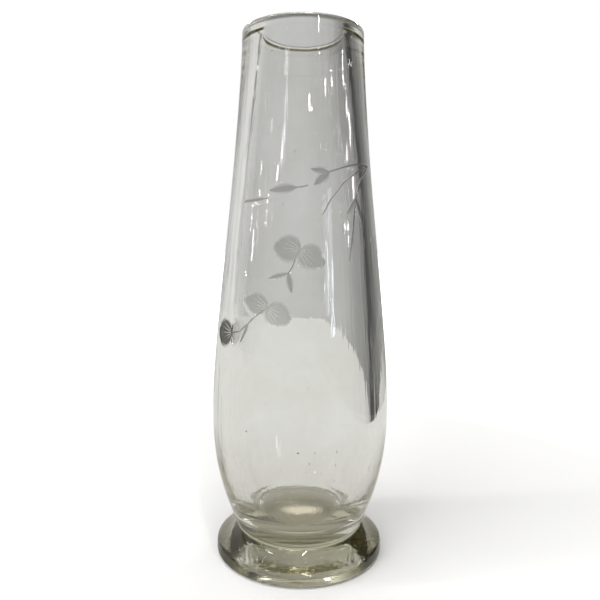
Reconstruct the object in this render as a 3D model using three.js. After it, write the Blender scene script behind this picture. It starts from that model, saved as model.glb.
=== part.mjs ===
// A heavy hand-made glass bud vase: a tall blown bowl, a short solid collar and a round foot,
// each a separate gather of glass, welded face to face.
// Millimetres, +Z up, origin at the centre of the base.

import * as THREE from 'three';

// Heights above the surface that the vase stands on
const HEIGHT = 230;
const FOOT_TOP = 11.6;
const COLLAR_TOP = 14.4;
const FLOOR_HEIGHT = 16.8;
const OUTER_BELLY_HEIGHT = 67;
const INNER_BELLY_HEIGHT = 60;

// Radii from the axis
const RIM_RADIUS = 26;
const MOUTH_RADIUS = 17.6;
const OUTER_BELLY_RADIUS = 39.5;
const INNER_BELLY_RADIUS = 32.8;
const BOWL_BASE_RADIUS = 29.1;
const FLOOR_RADIUS = 21;
const WAIST_RADIUS = 28;
const FOOT_RADIUS = 38;

// Rounded edges
const RIM_OUTER_EDGE = 1.6;
const RIM_INNER_EDGE = 1.2;
const FLOOR_FILLET = 3;
const COLLAR_BULGE = 0.5;
const FOOT_LOWER_EDGE = 1.6;
const FOOT_SHOULDER_EDGE = 2.4;
const FOOT_SIDE_TOP = 4;
const FOOT_SHOULDER_DEGREES = 62;

// How the curves of the profile leave their ends, as a step [outwards, upwards] from the end
const OUTER_BOTTOM_HANDLE = [10.6, 22];
const OUTER_BELLY_DOWN_HANDLE = [0, -11];
const OUTER_BELLY_UP_HANDLE = [0, 33];
const OUTER_RIM_HANDLE = [2.4, -62];
const INNER_MOUTH_HANDLE = [2.8, -25];
const INNER_BELLY_UP_HANDLE = [0, 49];
const INNER_BELLY_DOWN_HANDLE = [0, -8];
const INNER_FLOOR_HANDLE = [10.2, 13];
const FLARE_SHOULDER_HANDLE = [-2.4, 1.3];
const FLARE_WAIST_HANDLE = [1.6, -2.6];

// Smoothness of the faceted solids
const SEGMENTS_AROUND = 64;
const STEPS_UPPER_WALL = 16;
const STEPS_LOWER_WALL = 7;
const STEPS_EDGE = 4;

const WELD_RADIUS = WAIST_RADIUS + COLLAR_BULGE / 2;

const glass = (color) => new THREE.MeshStandardMaterial({
  color,
  roughness: 0.04,
  metalness: 0,
  transparent: true,
  opacity: 0.35,
  side: THREE.DoubleSide,
});

const at = (radius, height) => new THREE.Vector2(radius, height);

// A quarter or part of a circle in the half-plane of the profile, angles in degrees.
function edge(centreRadius, centreHeight, radius, fromAngle, toAngle) {
  const from = THREE.MathUtils.degToRad(fromAngle);
  const to = THREE.MathUtils.degToRad(toAngle);
  const circle = new THREE.EllipseCurve(centreRadius, centreHeight, radius, radius, from, to, to < from);
  return circle.getPoints(STEPS_EDGE);
}

// A smooth curve from start to end, which leaves each of them along its handle.
function sweep(start, startHandle, endHandle, end, steps) {
  const leaving = start.clone().add(new THREE.Vector2(...startHandle));
  const arriving = end.clone().add(new THREE.Vector2(...endHandle));
  return new THREE.CubicBezierCurve(start, leaving, arriving, end).getPoints(steps);
}

// Turns a profile about the Z axis. Points shared by two neighbouring stretches are kept once.
function turned(name, stretches, color) {
  const profile = stretches.flat().filter((point, index, all) => (
    index === 0 || point.distanceTo(all[index - 1]) > 1e-6
  ));
  const geometry = new THREE.LatheGeometry(profile, SEGMENTS_AROUND);
  geometry.rotateX(Math.PI / 2);
  const mesh = new THREE.Mesh(geometry, glass(color));
  mesh.name = name;
  return mesh;
}

// The outer wall rises from the collar, swells to the belly and draws in to the rim.
function outerWall() {
  const bottom = at(BOWL_BASE_RADIUS, COLLAR_TOP);
  const belly = at(OUTER_BELLY_RADIUS, OUTER_BELLY_HEIGHT);
  const rim = at(RIM_RADIUS, HEIGHT - RIM_OUTER_EDGE);
  return [
    ...sweep(bottom, OUTER_BOTTOM_HANDLE, OUTER_BELLY_DOWN_HANDLE, belly, STEPS_LOWER_WALL),
    ...sweep(belly, OUTER_BELLY_UP_HANDLE, OUTER_RIM_HANDLE, rim, STEPS_UPPER_WALL),
  ];
}

// The inner wall falls from the mouth, thins over the middle of the vase and ends in the floor's fillet.
function innerWall() {
  const mouth = at(MOUTH_RADIUS, HEIGHT - RIM_INNER_EDGE);
  const belly = at(INNER_BELLY_RADIUS, INNER_BELLY_HEIGHT);
  const floorEdge = at(FLOOR_RADIUS, FLOOR_HEIGHT + FLOOR_FILLET);
  return [
    ...sweep(mouth, INNER_MOUTH_HANDLE, INNER_BELLY_UP_HANDLE, belly, STEPS_UPPER_WALL),
    ...sweep(belly, INNER_BELLY_DOWN_HANDLE, INNER_FLOOR_HANDLE, floorEdge, STEPS_LOWER_WALL),
  ];
}

function bowl() {
  return turned('bowl', [
    at(0, COLLAR_TOP),
    outerWall(),
    edge(RIM_RADIUS - RIM_OUTER_EDGE, HEIGHT - RIM_OUTER_EDGE, RIM_OUTER_EDGE, 0, 90),
    edge(MOUTH_RADIUS + RIM_INNER_EDGE, HEIGHT - RIM_INNER_EDGE, RIM_INNER_EDGE, 90, 180),
    innerWall(),
    edge(FLOOR_RADIUS - FLOOR_FILLET, FLOOR_HEIGHT + FLOOR_FILLET, FLOOR_FILLET, 0, -90),
    at(0, FLOOR_HEIGHT),
  ], 0xd9dcd2);
}

// The collar is a low drum whose side swells a little where the hot glass was pressed together.
function collar() {
  const bottom = at(WELD_RADIUS, FOOT_TOP);
  const bulge = at(WAIST_RADIUS + COLLAR_BULGE * 2, (FOOT_TOP + COLLAR_TOP) / 2);
  const top = at(BOWL_BASE_RADIUS, COLLAR_TOP);
  const side = new THREE.QuadraticBezierCurve(bottom, bulge, top);
  return turned('collar', [at(0, FOOT_TOP), side.getPoints(STEPS_EDGE), at(0, COLLAR_TOP)], 0xcfd2c6);
}

// The foot is a thick disc with rounded edges, and its top rises in a shallow flare to the collar.
function foot() {
  const shoulderCentre = at(FOOT_RADIUS - FOOT_SHOULDER_EDGE, FOOT_SIDE_TOP);
  const shoulder = edge(shoulderCentre.x, shoulderCentre.y, FOOT_SHOULDER_EDGE, 0, FOOT_SHOULDER_DEGREES);
  const waist = at(WAIST_RADIUS, FOOT_TOP);
  const flare = sweep(shoulder.at(-1), FLARE_SHOULDER_HANDLE, FLARE_WAIST_HANDLE, waist, STEPS_EDGE);
  return turned('foot', [
    at(0, 0),
    edge(FOOT_RADIUS - FOOT_LOWER_EDGE, FOOT_LOWER_EDGE, FOOT_LOWER_EDGE, -90, 0),
    shoulder,
    flare,
    at(0, FOOT_TOP),
  ], 0xb9bda8);
}

const vase = new THREE.Group();
vase.add(foot(), collar(), bowl());

export default vase;
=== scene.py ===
"""Looks of the heavy hand-made glass bud vase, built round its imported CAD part.

Metres, +Z up, origin at the centre of the base. The front, which carries the wheel-cut
flowers, faces -Y. Angles round the vase are in degrees from the front towards +X. Profiles
and cuts are worked out in millimetres, and Shell.make turns them into metres.
"""

import math

import bpy
import numpy as np
from mathutils import Euler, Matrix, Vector


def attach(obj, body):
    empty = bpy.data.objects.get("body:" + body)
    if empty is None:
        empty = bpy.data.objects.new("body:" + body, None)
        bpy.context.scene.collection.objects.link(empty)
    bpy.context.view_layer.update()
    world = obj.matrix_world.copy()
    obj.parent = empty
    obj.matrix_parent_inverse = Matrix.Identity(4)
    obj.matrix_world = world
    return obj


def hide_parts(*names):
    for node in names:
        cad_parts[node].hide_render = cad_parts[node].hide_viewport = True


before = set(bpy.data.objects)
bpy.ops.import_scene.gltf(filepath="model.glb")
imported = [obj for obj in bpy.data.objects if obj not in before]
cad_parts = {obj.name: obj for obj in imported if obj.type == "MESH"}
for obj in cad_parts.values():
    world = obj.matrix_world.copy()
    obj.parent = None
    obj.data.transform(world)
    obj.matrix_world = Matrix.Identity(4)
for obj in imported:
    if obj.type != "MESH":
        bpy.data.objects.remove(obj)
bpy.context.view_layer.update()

MM = 0.001

# ---------------------------------------------------------------- profile, as in the CAD part
# Heights above the surface that the vase stands on
HEIGHT = 230.0
FOOT_TOP = 11.6
COLLAR_TOP = 14.4
FLOOR_HEIGHT = 16.8

# Radii from the axis; the two bellies are (radius, height)
RIM_RADIUS = 26.0
MOUTH_RADIUS = 17.6
OUTER_BELLY = (39.5, 67.0)
INNER_BELLY = (32.8, 60.0)
BOWL_BASE_RADIUS = 29.1
FLOOR_RADIUS = 21.0
WAIST_RADIUS = 28.0
FOOT_RADIUS = 38.0

# Rounded edges. The inner edge of the rim is crisper here than in the CAD part
RIM_OUTER_EDGE = 1.6
RIM_INNER_EDGE = 0.3
FLOOR_FILLET = 3.0
COLLAR_BULGE = 0.5
FOOT_LOWER_EDGE = 1.6
FOOT_SHOULDER_EDGE = 2.4
FOOT_SIDE_TOP = 4.0
FOOT_SHOULDER_DEGREES = 62.0

# How the curves of the profile leave their ends, as a step (outwards, upwards) from the end
OUTER_BOTTOM_HANDLE = (10.6, 22)
OUTER_BELLY_DOWN_HANDLE = (0, -11)
OUTER_BELLY_UP_HANDLE = (0, 33)
OUTER_RIM_HANDLE = (2.4, -62)
INNER_MOUTH_HANDLE = (2.8, -25)
INNER_BELLY_UP_HANDLE = (0, 49)
INNER_BELLY_DOWN_HANDLE = (0, -8)
INNER_FLOOR_HANDLE = (10.2, 13)
FLARE_SHOULDER_HANDLE = (-2.4, 1.3)
FLARE_WAIST_HANDLE = (1.6, -2.6)

# The inside of the bowl rises a little in the middle of its floor
FLOOR_RISE = 0.35
FLOOR_RISE_RADIUS = 7.0

# The welded faces of two pieces stay this far from the plane where they meet
WELD_GAP = 0.02
WELD_INSET = 0.12

# Columns of faces round every piece and rows up the outer wall. FINE is how many times a cell
# of the outer wall can be divided, each way, where the wheel has cut it
COLUMNS = 144
WALL_ROWS = 128
FINE = 8

# Steps along the curves of the profile
OUTER_LOWER_STEPS, OUTER_UPPER_STEPS = 400, 600
INNER_UPPER_STEPS, INNER_LOWER_STEPS = 90, 34
EDGE_STEPS = 10
MOUTH_STEPS = 8
COLLAR_STEPS = 8
SHOULDER_STEPS = 9
FLARE_STEPS = 14
# Radii of the rings on the flat top of the rim, the floor of the bowl and the underside
RIM_RINGS = (23.2, 22.0, 20.8, 19.4)
FLOOR_RINGS = np.arange(16.5, 1.0, -1.5)
UNDERSIDE_RINGS = range(2, 37, 2)


def cubic(start, leaving, arriving, end, steps):
    """Points of a curve from start to end; leaving and arriving are steps from its ends."""
    a, d = np.array(start), np.array(end)
    b, c = a + np.array(leaving), d + np.array(arriving)
    t = np.linspace(0, 1, steps + 1)[:, None]
    return (1 - t) ** 3 * a + 3 * (1 - t) ** 2 * t * b + 3 * (1 - t) * t**2 * c + t**3 * d


def arc(centre, radius, start, end, steps):
    """Points of a part of a circle, between two angles in degrees."""
    t = np.radians(np.linspace(start, end, steps + 1))[:, None]
    return np.array(centre) + radius * np.hstack([np.cos(t), np.sin(t)])


def join(*stretches):
    """One profile from stretches that share their end points."""
    return np.vstack([stretches[0], *(stretch[1:] for stretch in stretches[1:])])


BOWL_BASE = (BOWL_BASE_RADIUS, COLLAR_TOP)
RIM_SIDE = (RIM_RADIUS, HEIGHT - RIM_OUTER_EDGE)
OUTER_CURVE = join(
    cubic(BOWL_BASE, OUTER_BOTTOM_HANDLE, OUTER_BELLY_DOWN_HANDLE, OUTER_BELLY, OUTER_LOWER_STEPS),
    cubic(OUTER_BELLY, OUTER_BELLY_UP_HANDLE, OUTER_RIM_HANDLE, RIM_SIDE, OUTER_UPPER_STEPS),
)


def outer_radius(z):
    return np.interp(z, OUTER_CURVE[:, 1], OUTER_CURVE[:, 0])


# ---------------------------------------------------------------- wheel-cut flowers
# Points are (angle, height). Petals: centre of the flower, direction from it (degrees,
# anticlockwise from rightwards), length, width, how matte the ground is, how dark its painted
# shade is
PETALS = [
    # The first petal's ground carries the darkest painted shade
    ((-50.5, 103.5), 186, 12.4, 11.6, 1.25, 1.0),
    ((-50.5, 103.5), -2, 6.6, 11.0, 0.5, 0.0),
    ((-22, 115), 165, 12.2, 9.6, 1.0, 0.1),
    ((-22, 115), -30, 11.4, 10.4, 0.9, 0.0),
    ((-1, 138), 172, 11.2, 11.0, 1.0, 0.1),
    ((-1, 138), -32, 11.6, 10.4, 0.9, 0.1),
]
# Leaves: base, tip, width
LEAVES = [
    ((-35, 108.4), (-40.5, 100.4), 2.2),
    ((-8.5, 129), (-22.5, 126.6), 2.6),
    ((-8.5, 129), (-6, 121), 3.2),
    ((20.5, 168.6), (6, 169.6), 3.6),
    ((20.5, 168.6), (8.5, 163.2), 4.6),
    ((-4, 162.4), (-25, 161.2), 4.6),
    ((-49.5, 157), (-24, 158.3), 2.0),
    ((44, 158.6), (34, 152.2), 2.2),
    ((44, 158.6), (49.5, 149.6), 2.0),
    ((39.5, 146), (36.5, 138.6), 1.8),
]
# Stems: points on the line, width
STEMS = [
    ([(-50.5, 103.5), (-42, 104.8), (-35, 108.4), (-29, 112), (-24, 114.4)], 0.8),
    ([(-4, 134.5), (-5.8, 131.4), (-8.5, 129)], 0.7),
    ([(66, 172.4), (55, 172.7), (44, 172.2), (32, 170.6), (20, 168.6)], 0.9),
    ([(66, 172.4), (48.5, 169.8), (32.5, 164.7), (21, 157.7), (15, 152)], 0.5),
    ([(66, 172.4), (52, 166.6), (47.5, 163), (44, 158.6), (41, 151), (39.5, 146)], 0.8),
    ([(36.5, 138.8), (34.5, 134)], 0.4),
    ([(4, 163.2), (0, 162.6), (-5, 162.4)], 0.8),
]
PETAL_DEPTH, LEAF_DEPTH, STEM_DEPTH = 0.3, 0.16, 0.16
# How dark the painted shade on the leaf and stem grooves is
LEAF_PAINTED_SHADE, STEM_PAINTED_SHADE = 0.25, 0.5
# A groove is matte almost to its edge: its matteness is its depth times this, up to 1
LEAF_MATTE, STEM_MATTE = 1.7, 2

# Outline of a petal: where it starts, its width at the root, how far its widest place lies from
# the middle, how blunt it is, how deep the scallops of its end are, how wide its soft edge is
PETAL_START = -0.2
PETAL_ROOT = 0.3
PETAL_SKEW = 0.85
PETAL_BLUNT = 0.62
PETAL_SCALLOP = 0.02
PETAL_FADE = 1.8
PETAL_ROOT_TONE = 0.8
LEAF_SKEW = 0.8
LEAF_BLUNT = 0.8

# Fine lines fan out over a petal from a point behind the flower's centre, a step of degrees
# apart. Their length, as a share of the petal's, swings from line to line
FAN_STEP = 14
FAN_ORIGIN = 1.2
FAN_STEPS_EACH_SIDE = 2.5
FAN_START = 0.8
FAN_FADE = 4
FAN_LENGTH, FAN_SWING = 0.5, 0.25
FAN_SWING_RATE, FAN_SWING_PHASE = 3.1, 40
FAN_LINE_HALF_WIDTH = 0.22
FAN_LINE_DEPTH = 0.1
FAN_LINE_POLISH = 0.6

# A wall point is cut where the wheel went deeper than this
CUT_LIMIT = 0.004


class Carving:
    """Wheel cutting on a grid of the outer wall: its depth, how matte it is, and how dark its
    painted shade is.
    """

    def __init__(self, angle, height):
        self.angle, self.height = angle, height
        self.depth, self.matte, self.dark = np.zeros((3, *angle.shape))
        for petal in PETALS:
            self.petal(*petal)
        for leaf in LEAVES:
            self.leaf(*leaf)
        for stem in STEMS:
            self.stem(*stem)

    def window(self, points, reach):
        """The rows and columns of the grid that lie within reach of the points."""
        angles, heights = zip(*points)
        side = math.degrees(reach / RIM_RADIUS)
        row, column = self.height[:, 0], self.angle[0]
        rows = (row > min(heights) - reach) & (row < max(heights) + reach)
        columns = (column > min(angles) - side) & (column < max(angles) + side)
        return np.ix_(rows, columns)

    def flat(self, window, origin):
        """How far the window's points lie across and up from the origin, on the wall laid flat."""
        across = np.radians(self.angle[window] - origin[0]) * outer_radius(origin[1])
        return across, self.height[window] - origin[1]

    # Keeps the deepest cut, the most matte ground and the darkest painted shade at each point
    def cut(self, window, depth, matte, painted_shade):
        self.depth[window] = np.maximum(self.depth[window], depth)
        self.matte[window] = np.maximum(self.matte[window], matte)
        self.dark[window] = np.maximum(self.dark[window], matte * painted_shade)

    def petal(self, centre, direction, length, width, ground, painted_shade):
        window = self.window([centre], length + 1)
        u, v = self.flat(window, centre)
        c, s = math.cos(math.radians(direction)), math.sin(math.radians(direction))
        x, y = u * c + v * s, v * c - u * s
        spread = np.degrees(np.arctan2(y, x + FAN_ORIGIN))
        scallop = np.cos(np.radians(spread * 360 / FAN_STEP))
        t = np.clip(x / length * (1 + PETAL_SCALLOP * scallop), 0, 1)
        outline = PETAL_ROOT * (1 - t) ** 2 + np.sin(math.pi * t**PETAL_SKEW) ** PETAL_BLUNT
        fade = (width / 2 * outline - np.abs(y)) / PETAL_FADE
        inside = np.clip(fade, 0, 1) * (x > PETAL_START) * (t < 1)

        off_line = np.abs((spread / FAN_STEP + 0.5) % 1 - 0.5) * FAN_STEP
        off_line = off_line * np.radians(1) * np.maximum(x + FAN_ORIGIN, 1)
        line = np.clip(1 - off_line / FAN_LINE_HALF_WIDTH, 0, 1)
        line = line * (np.abs(spread) < FAN_STEP * FAN_STEPS_EACH_SIDE) * (x > FAN_START)
        swing = np.cos(np.radians(spread * FAN_SWING_RATE + FAN_SWING_PHASE))
        ends = length * (FAN_LENGTH + FAN_SWING * swing)
        line = line * np.clip((ends - x) / FAN_FADE, 0, 1)

        tone = inside * (PETAL_ROOT_TONE + (1 - PETAL_ROOT_TONE) * t) * ground
        depth = inside * (PETAL_DEPTH + FAN_LINE_DEPTH * line)
        matte = np.clip(tone, 0, 1) * (1 - FAN_LINE_POLISH * line)
        self.cut(window, depth, matte, painted_shade)

    def leaf(self, base, tip, width):
        window = self.window([base, tip], width + 1)
        u, v = self.flat(window, base)
        tip_u = math.radians(tip[0] - base[0]) * outer_radius(base[1])
        tip_v = tip[1] - base[1]
        length = math.hypot(tip_u, tip_v)
        x = (u * tip_u + v * tip_v) / length
        y = (v * tip_u - u * tip_v) / length
        t = np.clip(x / length, 0, 1)
        half = width / 2 * np.sin(math.pi * t**LEAF_SKEW) ** LEAF_BLUNT
        groove = np.clip(1 - np.abs(y) / np.maximum(half, 1e-3), 0, 1) * (half > 0.02)
        self.cut(window, LEAF_DEPTH * groove, np.clip(LEAF_MATTE * groove, 0, 1), LEAF_PAINTED_SHADE)

    def stem(self, points, width):
        window = self.window(points, width + 1)
        angle, z = points[0]
        u, v = self.flat(window, points[0])
        line = [(math.radians(a - angle) * outer_radius(z), h - z) for a, h in points]
        away = np.full(u.shape, np.inf)
        for (au, av), (bu, bv) in zip(line, line[1:]):
            du, dv = bu - au, bv - av
            along = np.clip(((u - au) * du + (v - av) * dv) / (du**2 + dv**2), 0, 1)
            away = np.minimum(away, np.hypot(u - au - along * du, v - av - along * dv))
        groove = np.clip(1 - away / (width / 2), 0, 1)
        self.cut(window, STEM_DEPTH * groove, np.clip(STEM_MATTE * groove, 0, 1), STEM_PAINTED_SHADE)


# ---------------------------------------------------------------- hand-made unevenness
# Each wave is (height of the wave, waves round the vase, phase, millimetres of height that turn
# the phase by one radian). The unevenness dies out within EVEN_OUT of the ends of a wall
EVEN_OUT = 8
OUTER_WAVES = [(0.05, 3, 1.1, 45), (0.03, 7, 2.0, -38), (0.008, 17, 0.4, 60)]
INNER_WAVES = [(0.07, 2, 0.5, 50), (0.04, 5, 1.0, -33), (0.01, 13, 2.4, 52)]
FOOT_WAVES = [(0.05, 2, 1, np.inf), (0.04, 5, 0, 1), (0.01, 14, 0, 1 / 1.5)]
# The outer walls are set in by this much, so that no wave stands out past the CAD part
SET_IN = 0.1


def waves(rows, angle, z):
    a = np.radians(angle)
    return sum(size * np.sin(count * a + phase + z / rise) for size, count, phase, rise in rows)


def between(z, low, high):
    """1 along a wall, falling to 0 at its two ends."""
    return np.clip((z - low) / EVEN_OUT, 0, 1) * np.clip((high - z) / EVEN_OUT, 0, 1)


def outer_wave(angle, z):
    swell = 0.03 * np.sin(z / 11 + 2 * np.sin(np.radians(angle)))
    return (waves(OUTER_WAVES, angle, z) + swell - SET_IN) * between(z, COLLAR_TOP, HEIGHT)


def inner_wave(angle, z):
    swell = 0.03 * np.sin(z / 9 + 3 * np.sin(np.radians(angle) + 1))
    return (waves(INNER_WAVES, angle, z) + swell) * between(z, FLOOR_HEIGHT, HEIGHT)


def foot_wave(angle, z):
    return (waves(FOOT_WAVES, angle, z) - SET_IN) * np.clip(z / 2, 0, 1)


# ---------------------------------------------------------------- meshes
RING_ANGLES = np.arange(COLUMNS) * 360.0 / COLUMNS - 180.0
SHARP_DEGREES = 32

# Rings and points of a bead, the small hollow in the glass that a seed or a stone fills
BEAD_TILTS = (-60, -25, 10, 45)
BEAD_SIDES = 8


def turn(radius, angle, z):
    """Points at a radius, an angle and a height."""
    a = np.radians(angle)
    return np.stack([radius * np.sin(a), -radius * np.cos(a), z + 0 * radius], -1)


class Shell:
    """Collects the points and faces of one closed piece of glass, in millimetres."""

    def __init__(self):
        self.points, self.faces = [], []
        # Per point: how matte it is, and how dark its painted shade is; per face: weld and stone
        self.cut, self.dark, self.weld, self.stone = [], [], [], []

    def add(self, points, cut=None, dark=None):
        first = sum(len(p) for p in self.points)
        self.points.append(np.asarray(points, float).reshape(-1, 3))
        plain = np.zeros(len(self.points[-1]))
        self.cut.append(plain if cut is None else cut)
        self.dark.append(plain if dark is None else dark)
        return first + np.arange(len(self.points[-1]))

    def face(self, corners, weld=False, stone=False):
        self.faces.append([int(c) for c in corners])
        self.weld.append(1.0 if weld else 0.0)
        self.stone.append(1.0 if stone else 0.0)

    def ring(self, r, z, wave=None, cut=0.0, dark=0.0):
        radius = np.full(COLUMNS, float(r))
        if wave is not None:
            radius = radius + wave(RING_ANGLES, z)
        points = turn(radius, RING_ANGLES, z)
        return self.add(points, np.full(COLUMNS, cut), np.full(COLUMNS, dark))

    def band(self, lower, upper):
        """Faces between two rings. They face out when the rings run up the outside."""
        for j in range(len(lower)):
            k = (j + 1) % len(lower)
            self.face([lower[j], lower[k], upper[k], upper[j]])

    def climb(self, last, profile, wave=None, cut=0.0, dark=0.0, where_marked=lambda r: True):
        """Bands from a ring on through one at each (radius, height), marked with wear, and with
        painted shade, where the test given holds.
        """
        for r, z in profile:
            here = self.ring(r, z, wave, cut * where_marked(r), dark * where_marked(r))
            self.band(last, here)
            last = here
        return last

    def fan(self, ring, centre, weld=False, below=True):
        """Closes a ring with a disc that faces down, or up if it isn't below."""
        for j in range(len(ring)):
            k = (j + 1) % len(ring)
            corners = [ring[k], ring[j], centre] if below else [ring[j], ring[k], centre]
            self.face(corners, weld)

    def bead(self, centre, size, stone=False):
        """A small hollow, its faces turned inwards: a seed, or a stone if it is opaque."""
        centre = np.array(centre)
        rings = []
        for tilt in BEAD_TILTS:
            a = np.radians(np.arange(BEAD_SIDES) * 360.0 / BEAD_SIDES + tilt)
            r, h = math.cos(math.radians(tilt)), math.sin(math.radians(tilt))
            offsets = np.stack([r * np.cos(a), r * np.sin(a), h + 0 * a], -1)
            rings.append(self.add(centre + offsets * size))
        low = self.add([centre - np.array((0, 0, size[2]))])[0]
        high = self.add([centre + np.array((0, 0, size[2]))])[0]
        for j in range(BEAD_SIDES):
            k = (j + 1) % BEAD_SIDES
            self.face([rings[0][j], rings[0][k], low], stone=stone)
            self.face([rings[-1][k], rings[-1][j], high], stone=stone)
            for a, b in zip(rings, rings[1:]):
                self.face([a[k], a[j], b[j], b[k]], stone=stone)

    def make(self, name):
        points = np.vstack(self.points) * MM
        mesh = bpy.data.meshes.new(name)
        mesh.from_pydata(points.tolist(), [], self.faces)
        marks = {
            ("cut", "POINT"): np.concatenate(self.cut),
            ("dark", "POINT"): np.concatenate(self.dark),
            ("weld", "FACE"): self.weld,
            ("stone", "FACE"): self.stone,
        }
        for (mark, domain), values in marks.items():
            attribute = mesh.attributes.new(mark, "FLOAT", domain)
            attribute.data.foreach_set("value", np.array(values, np.float32))
        mesh.polygons.foreach_set("use_smooth", [True] * len(mesh.polygons))
        mesh.set_sharp_from_angle(angle=math.radians(SHARP_DEGREES))
        mesh.update()
        made = bpy.data.objects.new(name, mesh)
        bpy.context.scene.collection.objects.link(made)
        return made


def grown(mask):
    """The mask with its neighbours; columns join up round the vase."""
    wide = mask | np.roll(mask, 1, 1) | np.roll(mask, -1, 1)
    tall = wide.copy()
    tall[1:] |= wide[:-1]
    tall[:-1] |= wide[1:]
    return tall


def halved(mask):
    """The mask on a grid with cells twice as large; a cell is set if any part of it was."""
    rows, columns = mask.shape
    return mask.reshape(rows // 2, 2, columns // 2, 2).any((1, 3))


def carved_wall(shell):
    """The outer wall: coarse cells, split up to three times where the wheel has cut it.

    Returns its bottom ring and its top ring.
    """
    rows, columns = WALL_ROWS * FINE, COLUMNS * FINE
    z = np.linspace(COLLAR_TOP, HEIGHT - RIM_OUTER_EDGE, rows + 1)[:, None]
    angle = (np.arange(columns) * 360.0 / columns - 180.0)[None, :]
    angle, z = np.broadcast_arrays(angle, z)
    carving = Carving(angle, z)
    radius = outer_radius(z) + outer_wave(angle, z) - carving.depth
    points = turn(radius, angle, z)

    # Which cells of each size are split into four. Neighbours differ by one split at most
    touched = carving.depth > CUT_LIMIT
    mask = touched[:-1] | touched[1:]
    mask = mask | np.roll(mask, -1, 1)
    split = {}
    for size in (2, 4, 8):
        mask = grown(halved(mask))
        split[size] = mask

    used = np.zeros((rows + 1, columns), bool)
    cells = []
    for size in (8, 4, 2, 1):
        here = np.ones((rows // size, columns // size), bool)
        if size > 1:
            here &= ~split[size]
        if size < FINE:
            here &= np.repeat(np.repeat(split[size * 2], 2, 0), 2, 1)
        i, j = np.nonzero(here)
        i, j = i * size, j * size
        cells.append((size, i, j))
        for di in (0, size):
            for dj in (0, size):
                used[i + di, (j + dj) % columns] = True

    number = np.full(used.shape, -1)
    # Each point takes its matteness and its painted shade from the carving
    number[used] = shell.add(points[used], carving.matte[used], carving.dark[used])
    for size, i, j in cells:
        half = size // 2
        for a, b in zip(i.tolist(), j.tolist()):
            walk = [(a, b), (a, b + half), (a, b + size), (a + half, b + size)]
            walk += [(a + size, b + size), (a + size, b + half), (a + size, b), (a + half, b)]
            if size == 1:
                walk = walk[::2]
            corners = [number[p, q % columns] for p, q in walk]
            shell.face([c for c in corners if c >= 0])
    return number[0, ::FINE], number[-1, ::FINE]


# Seeds, which are small bubbles: how many, between which angles, between which heights
SEED_DRAW = 11
SEEDS = [(40, (-180, 180), (26, 214)), (12, (2, 30), (44, 58))]
SEED_DEPTH = (1.2, 4.2)
SEED_SIZE = (0.08, 0.22)
SEED_STRETCH = (1.2, 4)
# Stones, which are small dark specks: (angle, height), half of their size
STONES = [
    ((-28, 215.8), 0.3),
    ((-34, 64.5), 0.36),
    ((-1, 57.9), 0.4),
    ((140, 96), 0.3),
    ((-120, 150), 0.24),
]
STONE_DEPTH = 1.0
STONE_SHAPE = (1, 0.6, 0.7)


def add_seeds(shell):
    """Seeds and a few stones inside the wall of the bowl."""
    draw = np.random.default_rng(SEED_DRAW)
    places = [
        (draw.uniform(*angles), draw.uniform(*heights))
        for count, angles, heights in SEEDS
        for _ in range(count)
    ]
    for angle, z in places:
        place = turn(outer_radius(z) - draw.uniform(*SEED_DEPTH), angle, z)
        size = draw.uniform(*SEED_SIZE)
        shell.bead(place, np.array((size, size, size * draw.uniform(*SEED_STRETCH))))
    for (angle, z), size in STONES:
        place = turn(outer_radius(z) - STONE_DEPTH, angle, z)
        shell.bead(place, size * np.array(STONE_SHAPE), stone=True)


# How worn the inner edge of the rim is, and how dark the painted shade on it is
RIM_WEAR, RIM_EDGE_PAINTED_SHADE = 0.9, 0.95


def make_bowl():
    shell = Shell()
    bottom, top = carved_wall(shell)
    inset = shell.ring(BOWL_BASE_RADIUS - WELD_INSET, COLLAR_TOP + WELD_GAP)
    middle = shell.add([[0, 0, COLLAR_TOP + WELD_GAP]])[0]
    shell.band(inset, bottom)
    shell.fan(inset, middle, weld=True)

    outer_edge = (RIM_RADIUS - RIM_OUTER_EDGE, HEIGHT - RIM_OUTER_EDGE)
    inner_edge = (MOUTH_RADIUS + RIM_INNER_EDGE, HEIGHT - RIM_INNER_EDGE)
    rim = [
        *arc(outer_edge, RIM_OUTER_EDGE, 0, 90, EDGE_STEPS)[1:],
        *((r, HEIGHT) for r in RIM_RINGS),
        *arc(inner_edge, RIM_INNER_EDGE, 90, 180, MOUTH_STEPS),
    ]
    mouth = (MOUTH_RADIUS, HEIGHT - RIM_INNER_EDGE)
    floor_edge = (FLOOR_RADIUS, FLOOR_HEIGHT + FLOOR_FILLET)
    fillet = (FLOOR_RADIUS - FLOOR_FILLET, FLOOR_HEIGHT + FLOOR_FILLET)
    upper = (mouth, INNER_MOUTH_HANDLE, INNER_BELLY_UP_HANDLE, INNER_BELLY)
    lower = (INNER_BELLY, INNER_BELLY_DOWN_HANDLE, INNER_FLOOR_HANDLE, floor_edge)
    inside = join(
        cubic(*upper, INNER_UPPER_STEPS),
        cubic(*lower, INNER_LOWER_STEPS),
        arc(fillet, FLOOR_FILLET, 0, -90, EDGE_STEPS),
    )[1:]
    floor = [
        (r, FLOOR_HEIGHT + FLOOR_RISE * math.exp(-((r / FLOOR_RISE_RADIUS) ** 2)))
        for r in FLOOR_RINGS
    ]
    worn_and_shaded_from = MOUTH_RADIUS + RIM_INNER_EDGE * 0.9
    # The inner edge of the rim gets wear and painted shade
    last = shell.climb(top, rim, None, RIM_WEAR, RIM_EDGE_PAINTED_SHADE, lambda r: r < worn_and_shaded_from)
    last = shell.climb(last, inside, inner_wave)
    last = shell.climb(last, floor)
    middle = shell.add([[0, 0, FLOOR_HEIGHT + FLOOR_RISE]])[0]
    shell.fan(last, middle, below=False)
    add_seeds(shell)
    return shell.make("vase_bowl")


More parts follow.
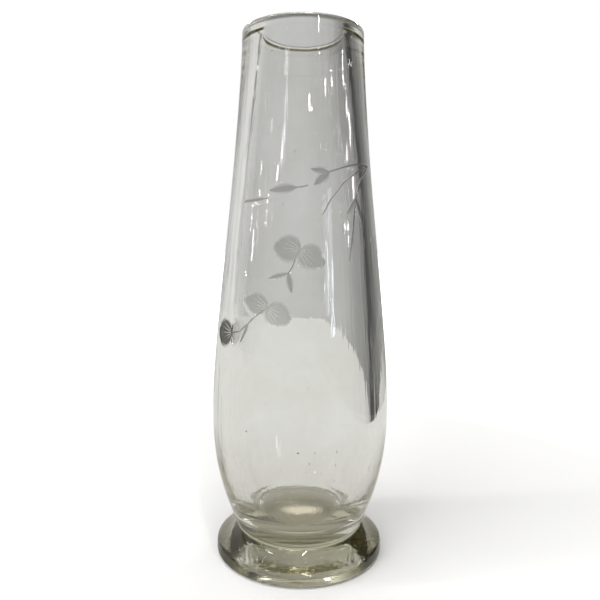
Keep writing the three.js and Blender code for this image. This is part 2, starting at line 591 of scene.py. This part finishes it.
def make_collar():
    shell = Shell()
    a = np.array((WAIST_RADIUS + COLLAR_BULGE / 2, FOOT_TOP))
    b = np.array((WAIST_RADIUS + COLLAR_BULGE * 2, (FOOT_TOP + COLLAR_TOP) / 2))
    c = np.array((BOWL_BASE_RADIUS, COLLAR_TOP))
    t = np.linspace(0, 1, COLLAR_STEPS + 1)[:, None]
    side = (1 - t) ** 2 * a + 2 * (1 - t) * t * b + t**2 * c
    centre = shell.add([[0, 0, FOOT_TOP + WELD_GAP]])[0]
    first = shell.ring(WAIST_RADIUS - WELD_INSET, FOOT_TOP + WELD_GAP)
    shell.fan(first, centre, weld=True)
    last = shell.climb(first, side)
    last = shell.climb(last, [(BOWL_BASE_RADIUS - WELD_INSET, COLLAR_TOP - WELD_GAP)])
    centre = shell.add([[0, 0, COLLAR_TOP - WELD_GAP]])[0]
    shell.fan(last, centre, weld=True, below=False)
    return shell.make("vase_collar")


# The underside of the foot is worn beyond this radius
FOOT_WEAR_RADIUS = 31
FOOT_WEAR = 0.25


def make_foot():
    shell = Shell()
    lower_centre = (FOOT_RADIUS - FOOT_LOWER_EDGE, FOOT_LOWER_EDGE)
    shoulder_centre = (FOOT_RADIUS - FOOT_SHOULDER_EDGE, FOOT_SIDE_TOP)
    lower = arc(lower_centre, FOOT_LOWER_EDGE, -90, 0, EDGE_STEPS)
    shoulder = arc(
        shoulder_centre, FOOT_SHOULDER_EDGE, 0, FOOT_SHOULDER_DEGREES, SHOULDER_STEPS
    )
    waist = (WAIST_RADIUS, FOOT_TOP)
    flare = cubic(
        shoulder[-1], FLARE_SHOULDER_HANDLE, FLARE_WAIST_HANDLE, waist, FLARE_STEPS
    )[1:]
    centre = shell.add([[0, 0, 0]])[0]
    first, *others = ((r, 0) for r in UNDERSIDE_RINGS)
    last = shell.ring(*first)
    shell.fan(last, centre)
    last = shell.climb(last, others, cut=FOOT_WEAR, where_marked=lambda r: r > FOOT_WEAR_RADIUS)
    last = shell.climb(last, [*lower, *shoulder, *flare[:-1]], foot_wave)
    last = shell.climb(last, [waist, (WAIST_RADIUS - WELD_INSET, FOOT_TOP - WELD_GAP)])
    centre = shell.add([[0, 0, FOOT_TOP - WELD_GAP]])[0]
    shell.fan(last, centre, weld=True, below=False)
    return shell.make("vase_foot")


# ---------------------------------------------------------------- node trees
# Sockets of the Mix node when it mixes colours
FACTOR, COLOUR_A, COLOUR_B, MIXED = 0, 6, 7, 2


class Nodes:
    """Adds nodes to a node tree, which it empties first."""

    def __init__(self, tree):
        tree.nodes.clear()
        self.tree = tree

    def add(self, kind, inputs=(), **settings):
        """A node with its settings; each input is a value or the output that it is linked to."""
        node = self.tree.nodes.new("ShaderNode" + kind)
        for setting, value in settings.items():
            setattr(node, setting, value)
        for socket, value in dict(inputs).items():
            if isinstance(value, bpy.types.NodeSocket):
                self.tree.links.new(value, node.inputs[socket])
            else:
                node.inputs[socket].default_value = value
        return node

    def ramp(self, factor, stops):
        node = self.add("ValToRGB", {"Fac": factor})
        elements = node.color_ramp.elements
        while len(elements) < len(stops):
            elements.new(0.5)
        for element, (position, colour) in zip(elements, stops):
            element.position, element.color = position, (*colour, 1)
        return node.outputs["Color"]

    def map(self, value, source, target=(0, 1), **settings):
        inputs = {
            "Value": value,
            "From Min": source[0],
            "From Max": source[1],
            "To Min": target[0],
            "To Max": target[1],
        }
        return self.add("MapRange", inputs, **settings).outputs["Result"]

    def mix(self, factor, first, second):
        inputs = {FACTOR: factor, COLOUR_A: first, COLOUR_B: second}
        return self.add("Mix", inputs, data_type="RGBA").outputs[MIXED]

    def blend(self, factor, first, second):
        """One shader where the factor is 0 and the other where it is 1."""
        return self.add("MixShader", {0: factor, 1: first, 2: second}).outputs[0]

    def mapping(self, vector, location=(0, 0, 0), scale=(1, 1, 1)):
        inputs = {"Vector": vector, "Location": location, "Scale": scale}
        return self.add("Mapping", inputs).outputs[0]

    def noise(self, vector, scale, detail, roughness=0.5):
        inputs = {"Vector": vector, "Scale": scale, "Detail": detail, "Roughness": roughness}
        return self.add("TexNoise", inputs).outputs["Fac"]

    def bump(self, height, distance, normal=None):
        inputs = {"Height": height, "Distance": distance}
        if normal is not None:
            inputs["Normal"] = normal
        return self.add("Bump", inputs).outputs["Normal"]

    def length(self, vector):
        return self.add("VectorMath", {0: vector}, operation="LENGTH").outputs["Value"]

    def attribute(self, name):
        return self.add("Attribute", attribute_name=name).outputs["Fac"]

    def object_place(self):
        return self.add("TexCoord").outputs["Object"]


def new_material(name):
    material = bpy.data.materials.new(name)
    material.use_nodes = True
    return material, Nodes(material.node_tree)


# ---------------------------------------------------------------- glass
GLASS_IOR = 1.51
# Tint of the glass, and how strongly the thickness of each piece brings it out
OLIVE = (0.64, 0.62, 0.44)
BOWL_DENSITY, COLLAR_DENSITY, FOOT_DENSITY = 11, 11, 23

# Cords and ridges are drawn out up the vase
DRAWN_OUT = (1, 1, 0.012)
CORD_SCALE, CORD_DETAIL, CORD_HEIGHT = 330, 3, 0.000012
RIDGE_SCALE, RIDGE_DETAIL, RIDGE_HEIGHT = 620, 0, 0.000014
RIDGE_RANGE = (0.6, 0.75)
# Smears tint the surface a little and dull its gloss
SMEAR_SCALE, SMEAR_DETAIL, SMEAR_ROUGHNESS = 38, 5, 0.7
SMEAR_TINT = [(0.35, (1, 1, 1)), (0.75, (0.92, 0.92, 0.905))]
HAZE_RANGE, HAZE_ROUGHNESS = (0.5, 0.8), (0, 0.012)
# The wheel leaves a grainy matte ground. Its colour is painted shade: grey where it is cut or
# worn, darker where the point mark of painted shade is high
GRAIN_SCALE, GRAIN_DETAIL, GRAIN_HEIGHT = 2600, 2, 0.00003
CUT_ROUGHNESS = 0.4
CUT_PALE_PAINTED_SHADE = (0.42, 0.42, 0.40, 1)
CUT_DEEP_PAINTED_SHADE = (0.02, 0.02, 0.012, 1)
STONE_COLOUR, STONE_ROUGHNESS = (0.05, 0.045, 0.035, 1), 0.7


def glass(name, density, seed):
    """Clear glass with an olive tint by depth, faint cords and smears, and matte cuts greyed with
    painted shade.
    """
    material, nodes = new_material(name)
    shift = (seed, seed * 0.37, seed * 0.71)
    place = nodes.add("VectorMath", {0: nodes.object_place(), 1: shift}).outputs[0]
    drawn_out = nodes.mapping(place, scale=DRAWN_OUT)
    cut = nodes.attribute("cut")

    smears = nodes.noise(place, SMEAR_SCALE, SMEAR_DETAIL, SMEAR_ROUGHNESS)
    clean = nodes.ramp(smears, SMEAR_TINT)
    # Cut and worn ground is greyed with painted shade, darkest where the point mark says
    ground = nodes.mix(nodes.attribute("dark"), CUT_PALE_PAINTED_SHADE, CUT_DEEP_PAINTED_SHADE)
    colour = nodes.mix(cut, clean, ground)
    haze = nodes.map(smears, HAZE_RANGE, HAZE_ROUGHNESS)
    gloss = nodes.add("Math", {0: cut, 1: CUT_ROUGHNESS, 2: haze}, operation="MULTIPLY_ADD")

    cords = nodes.noise(drawn_out, CORD_SCALE, CORD_DETAIL)
    normal = nodes.bump(cords, CORD_HEIGHT)
    ridges = nodes.noise(drawn_out, RIDGE_SCALE, RIDGE_DETAIL)
    ridges = nodes.map(ridges, RIDGE_RANGE, interpolation_type="SMOOTHSTEP")
    normal = nodes.bump(ridges, RIDGE_HEIGHT, normal)
    grain = nodes.noise(place, GRAIN_SCALE, GRAIN_DETAIL)
    grain = nodes.add("Math", {0: grain, 1: cut}, operation="MULTIPLY").outputs[0]
    normal = nodes.bump(grain, GRAIN_HEIGHT, normal)

    clear = nodes.add(
        "BsdfPrincipled",
        {
            "Base Color": colour,
            "Roughness": gloss.outputs[0],
            "IOR": GLASS_IOR,
            "Transmission Weight": 1,
            "Normal": normal,
        },
    )
    stone = nodes.add(
        "BsdfPrincipled", {"Base Color": STONE_COLOUR, "Roughness": STONE_ROUGHNESS}
    )
    fused = nodes.add("BsdfTransparent")
    surface = nodes.blend(nodes.attribute("stone"), clear.outputs[0], stone.outputs[0])
    surface = nodes.blend(nodes.attribute("weld"), surface, fused.outputs[0])
    depth = nodes.add("VolumeAbsorption", {"Color": (*OLIVE, 1), "Density": density})
    nodes.add("OutputMaterial", {"Surface": surface, "Volume": depth.outputs[0]})
    return material


# The number at the end of each glass shifts its noise, so that no two pieces match
for make, node, slot, material in (
    (make_bowl, "bowl", "bowl_glass", glass("bowl_clear_glass", BOWL_DENSITY, 1.3)),
    (make_collar, "collar", "collar_glass", glass("collar_clear_glass", COLLAR_DENSITY, 4.1)),
    (make_foot, "foot", "foot_glass", glass("foot_clear_glass", FOOT_DENSITY, 7.7)),
):
    piece = make()
    piece.data.materials.append(material)
    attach(piece, "root")
    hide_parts(node)


# ---------------------------------------------------------------- stage: the two floors
def sheet(name, corners, level, material):
    mesh = bpy.data.meshes.new(name)
    mesh.from_pydata([(x, y, level) for x, y in corners], [], [(0, 1, 2, 3)])
    mesh.materials.append(material)
    made = bpy.data.objects.new(name, mesh)
    bpy.context.scene.collection.objects.link(made)
    return made


FLOOR_CORNERS = [(-4, -4), (4, -4), (4, 4), (-4, 4)]
FLOOR_LEVEL = -0.0003
FLOOR_COLOUR = (0.575, 0.575, 0.575, 1)
# The floor glows more and more from the first distance to the second, so that it ends in white
GLOW_DISTANCES, GLOW_STRENGTHS = (0.22, 0.8), (0, 1.2)

TABLE_CORNERS = [(-1.5, -1.6), (0.8, -1.6), (0.064, 0.65), (-1.5, 0.65)]
TABLE_LEVEL = -0.0004
# Colours of the table's glow outwards from the axis, by the share of TABLE_REACH: painted shadow
# with two darker rings under and around the foot, then a plain bright glow beyond it
TABLE_REACH = 0.2
TABLE_GLOW_AND_PAINTED_SHADOW = [
    (0.0, (0.31, 0.29, 0.21)),
    (0.06, (0.29, 0.272, 0.195)),
    (0.085, (0.2, 0.19, 0.138)),
    (0.11, (0.265, 0.25, 0.185)),
    (0.14, (0.38, 0.365, 0.3)),
    (0.17, (0.2, 0.19, 0.14)),
    (0.22, (0.7, 0.69, 0.66)),
    (1.0, (0.77, 0.77, 0.75)),
]
# The warm spot of light that the vase throws under itself
SPOT_PLACE, SPOT_SCALE = (-0.001, -0.016, 0), (1, 2.3, 1)
SPOT_RANGE = (0.004, 0.014)
SPOT_COLOUR = (0.95, 0.87, 0.7, 1)


def pale_floor():
    """The white floor that the camera sees directly, with the soft shadow on it."""
    material, nodes = new_material("pale_floor")
    diffuse = nodes.add("BsdfDiffuse", {"Color": FLOOR_COLOUR})
    away = nodes.length(nodes.object_place())
    glow = nodes.add("Emission", {"Strength": nodes.map(away, GLOW_DISTANCES, GLOW_STRENGTHS)})
    both = nodes.add("AddShader", {0: diffuse.outputs[0], 1: glow.outputs[0]})
    nodes.add("OutputMaterial", {"Surface": both.outputs[0]})
    floor = sheet("pale_floor", FLOOR_CORNERS, FLOOR_LEVEL, material)
    floor.visible_glossy = floor.visible_transmission = floor.visible_diffuse = False
    floor.visible_shadow = False


def table_top():
    """The table that the glass refracts: it ends behind the vase and close to its right. It glows,
    with painted shadow under the foot and a painted pool of warm light in the middle.
    """
    material, nodes = new_material("table_top")
    place = nodes.object_place()
    # Painted shadow of the foot, by distance from the axis
    painted_shade = nodes.ramp(nodes.map(nodes.length(place), (0, TABLE_REACH)), TABLE_GLOW_AND_PAINTED_SHADOW)
    off_spot = nodes.length(nodes.mapping(place, SPOT_PLACE, SPOT_SCALE))
    spot = nodes.map(off_spot, SPOT_RANGE, (1, 0), interpolation_type="SMOOTHSTEP")
    glow = nodes.add("Emission", {"Color": nodes.mix(spot, painted_shade, SPOT_COLOUR)})
    nodes.add("OutputMaterial", {"Surface": glow.outputs[0]})
    table = sheet("table_top", TABLE_CORNERS, TABLE_LEVEL, material)
    table.visible_camera = False
    table.visible_shadow = False


pale_floor()
table_top()

# ---------------------------------------------------------------- stage: the room
# Surroundings by azimuth, in degrees from straight behind the vase towards +X, as a grey level
SURROUND = [
    (-180, 0.55),
    (-120, 0.5),
    (-104, 0.5),
    (-98, 0.12),
    (-86, 0.12),
    (-80, 0.8),
    (-66, 0.72),
    (-63, 0.3),
    (-59, 0.3),
    (-55, 0.8),
    (-35, 0.74),
    (-12, 0.58),
    (0, 0.56),
    (10, 0.47),
    (18, 0.31),
    (30, 0.19),
    (42, 0.13),
    (52, 0.05),
    (64, 0.05),
    (76, 0.4),
    (82, 0.12),
    (96, 0.12),
    (102, 0.45),
    (120, 0.5),
    (180, 0.55),
]


def soft_room():
    """Grey surroundings for the glass to show, and plain white where the camera sees them."""
    world = bpy.data.worlds.new("soft_room")
    bpy.context.scene.world = world
    world.use_nodes = True
    nodes = Nodes(world.node_tree)
    place = nodes.add("TexCoord").outputs["Generated"]
    direction = nodes.add("SeparateXYZ", {0: place}).outputs
    azimuth = nodes.add("Math", {0: direction["X"], 1: direction["Y"]}, operation="ARCTAN2")
    share = nodes.map(azimuth.outputs[0], (-math.pi, math.pi))
    stops = [((degrees + 180) / 360, (grey, grey, grey)) for degrees, grey in SURROUND]
    room = nodes.add("Background", {"Color": nodes.ramp(share, stops)})
    white = nodes.add("Background", {"Color": (1, 1, 1, 1)})
    seen = nodes.add("LightPath").outputs["Is Camera Ray"]
    both = nodes.blend(seen, room.outputs[0], white.outputs[0])
    nodes.add("OutputWorld", {"Surface": both})


soft_room()

# ---------------------------------------------------------------- stage: lights
DAYLIGHT = (0.84, 0.92, 1.0)
LAMPLIGHT = (1, 0.99, 0.96)
# Height of the point that the panels face
AIM_HEIGHT = 0.12
# Windows and tubes: name, azimuth, elevation, distance, width, height, colour, strength.
# Azimuth is from straight behind the vase towards +X
WINDOWS = [
    ("window_right", 137, 8, 1.7, 0.19, 0.48, DAYLIGHT, 3),
    ("window_right_core", 135.5, 4.5, 1.69, 0.06, 0.26, DAYLIGHT, 9),
    ("window_left", -142, 34, 1.7, 0.16, 0.1, DAYLIGHT, 6),
]
TUBES = [
    ("tube_a", 165, 62, 1.5, 0.03, 1.1, LAMPLIGHT, 70),
    ("tube_b", -100, 60, 1.5, 0.03, 1.1, LAMPLIGHT, 45),
    ("overhead", 180, 80, 1.5, 0.5, 0.03, LAMPLIGHT, 140),
    ("glow_right", 30, 36, 1.5, 0.4, 0.03, LAMPLIGHT, 90),
    ("glow_left", -30, 36, 1.5, 0.4, 0.03, LAMPLIGHT, 60),
    ("overhead_back", 20, 66, 1.5, 0.6, 0.04, LAMPLIGHT, 40),
]
# Narrow lamps, which make the upright glints: azimuth, elevation, width, height, strength
LAMP_DISTANCE = 1.7
LAMPS = [
    (-109.9, 14.9, 0.01, 0.13, 200),
    (-125.8, 13.2, 0.008, 0.1, 140),
    (-126.8, 20.5, 0.01, 0.035, 200),
    (-148, 19.8, 0.014, 0.057, 160),
    (-141.2, 17.5, 0.02, 0.037, 250),
    (151.3, 24.8, 0.01, 0.021, 150),
    (140.6, 22.8, 0.01, 0.044, 150),
    (129.2, 22.6, 0.01, 0.044, 170),
    (169, 22.3, 0.012, 0.023, 120),
    (104, 22.6, 0.012, 0.07, 200),
    (98, 20.2, 0.012, 0.07, 200),
    (91, 17.8, 0.012, 0.07, 200),
    (100.7, 16.7, 0.012, 0.035, 150),
    (89.1, 12.9, 0.012, 0.135, 200),
    (-97.5, 11, 0.008, 0.09, 140),
    (-103, 8.6, 0.008, 0.09, 140),
    (-95.2, 5.1, 0.01, 0.023, 160),
    (106, 9.8, 0.014, 0.08, 130),
    (-97.6, 25.5, 0.012, 0.092, 150),
]
KEY_ENERGY = 2.9
KEY_ANGLE = 60
KEY_FROM = (-0.78, -0.56, 0.5)


def panel(name, azimuth, elevation, distance, width, height, colour, strength):
    """A glowing sheet that faces the vase."""
    a, e = math.radians(azimuth), math.radians(elevation)
    aim = Vector((0, 0, AIM_HEIGHT))
    away = Vector((math.sin(a) * math.cos(e), math.cos(a) * math.cos(e), math.sin(e)))
    light = bpy.data.lights.new(name, "AREA")
    light.shape = "RECTANGLE"
    light.size, light.size_y = width, height
    light.color = colour
    light.energy = strength * width * height * math.pi
    made = bpy.data.objects.new(name, light)
    made.location = aim + away * distance
    made.rotation_euler = away.to_track_quat("Z", "Y").to_euler()
    made.visible_camera = False
    bpy.context.scene.collection.objects.link(made)


def soft_key():
    """The light that makes the soft shadow. The glass doesn't show it."""
    light = bpy.data.lights.new("soft_key", "SUN")
    light.energy = KEY_ENERGY
    light.angle = math.radians(KEY_ANGLE)
    made = bpy.data.objects.new("soft_key", light)
    made.rotation_euler = Vector(KEY_FROM).to_track_quat("Z", "Y").to_euler()
    made.visible_glossy = made.visible_transmission = False
    bpy.context.scene.collection.objects.link(made)


for window in WINDOWS:
    panel(*window)
for number, (azimuth, elevation, width, height, strength) in enumerate(LAMPS):
    size = (width, height)
    panel(f"lamp_{number}", azimuth, elevation, LAMP_DISTANCE, *size, LAMPLIGHT, strength)
for tube in TUBES:
    panel(*tube)
soft_key()

# ---------------------------------------------------------------- camera
CAMERA_PLACE = (0, -0.2699, 0.145)
CAMERA_LENS, CAMERA_SENSOR, CAMERA_CLIP = 36.246, 36, 0.01
CAMERA_TURN_LEFT, CAMERA_TILT, CAMERA_ROLL = 0.085, 83.594, 0.48


def turned(axis, degrees):
    return Euler([math.radians(degrees) * (name == axis) for name in "xyz"]).to_matrix()


camera_data = bpy.data.cameras.new("camera")
camera_data.sensor_width = CAMERA_SENSOR
camera_data.lens = CAMERA_LENS
camera_data.clip_start = CAMERA_CLIP
camera = bpy.data.objects.new("camera", camera_data)
camera.location = CAMERA_PLACE
aimed = turned("z", CAMERA_TURN_LEFT) @ turned("x", CAMERA_TILT) @ turned("z", CAMERA_ROLL)
camera.rotation_euler = aimed.to_euler()
bpy.context.scene.collection.objects.link(camera)
bpy.context.scene.camera = camera

# Light passes many faces of clear glass before it leaves the foot
GLASS_BOUNCES = 48
FUSED_BOUNCES = 16
scene = bpy.context.scene
scene.view_settings.view_transform = "Standard"
scene.cycles.max_bounces = GLASS_BOUNCES
scene.cycles.transmission_bounces = GLASS_BOUNCES
scene.cycles.glossy_bounces = GLASS_BOUNCES
scene.cycles.transparent_max_bounces = FUSED_BOUNCES
